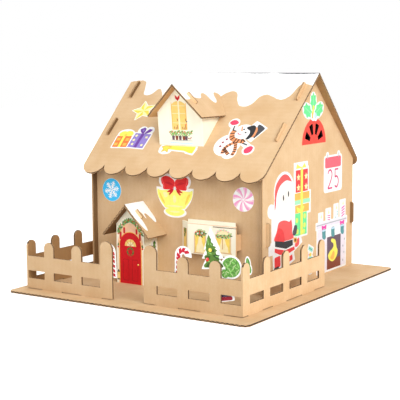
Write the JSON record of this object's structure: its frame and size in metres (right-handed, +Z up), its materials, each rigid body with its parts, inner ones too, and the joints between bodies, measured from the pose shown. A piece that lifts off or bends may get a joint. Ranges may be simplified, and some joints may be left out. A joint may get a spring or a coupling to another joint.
{
  "type": "cardboard house",
  "caption": "Slot-together corrugated card winter cottage on a flat base, with scalloped roof, dormer, porch, bay window, picket fences and flat paper stickers.",
  "frame": {"origin": "centre of the underside of the base board, on the surface that it stands on", "axes": "+X to the right along the front edge of the base, +Y from the front with the door to the back, +Z up"},
  "size_m": [0.35, 0.3949, 0.2706],
  "materials": {
    "board": "matte kraft",
    "sticker_paper": "satin print"
  },
  "bodies": {
    "root": {"base_board": "board", "left_gable_wall": "board", "right_gable_wall": "board", "front_wall": "board", "back_wall": "board", "roof": "board", "dormer_body": "board", "dormer_roof": "board", "porch_body": "board", "porch_roof": "board", "bay_window": "board", "left_fence": "board", "right_fence": "board", "star_sticker": "sticker_paper", "gifts_sticker": "sticker_paper", "comet_sticker": "sticker_paper", "snowman_sticker": "sticker_paper", "snowflake_sticker": "sticker_paper", "peppermint_sticker": "sticker_paper", "bell_sticker": "sticker_paper", "holly_sticker": "sticker_paper", "calendar_sticker": "sticker_paper", "father_christmas_sticker": "sticker_paper", "hearth_sticker": "sticker_paper", "bauble_sticker": "sticker_paper", "sprig_sticker": "sticker_paper", "left_cane": "sticker_paper", "right_cane": "sticker_paper", "tree_cutout": "sticker_paper", "sweet_cutout": "sticker_paper", "leaf_cutout": "sticker_paper"}
  },
  "joints": []
}
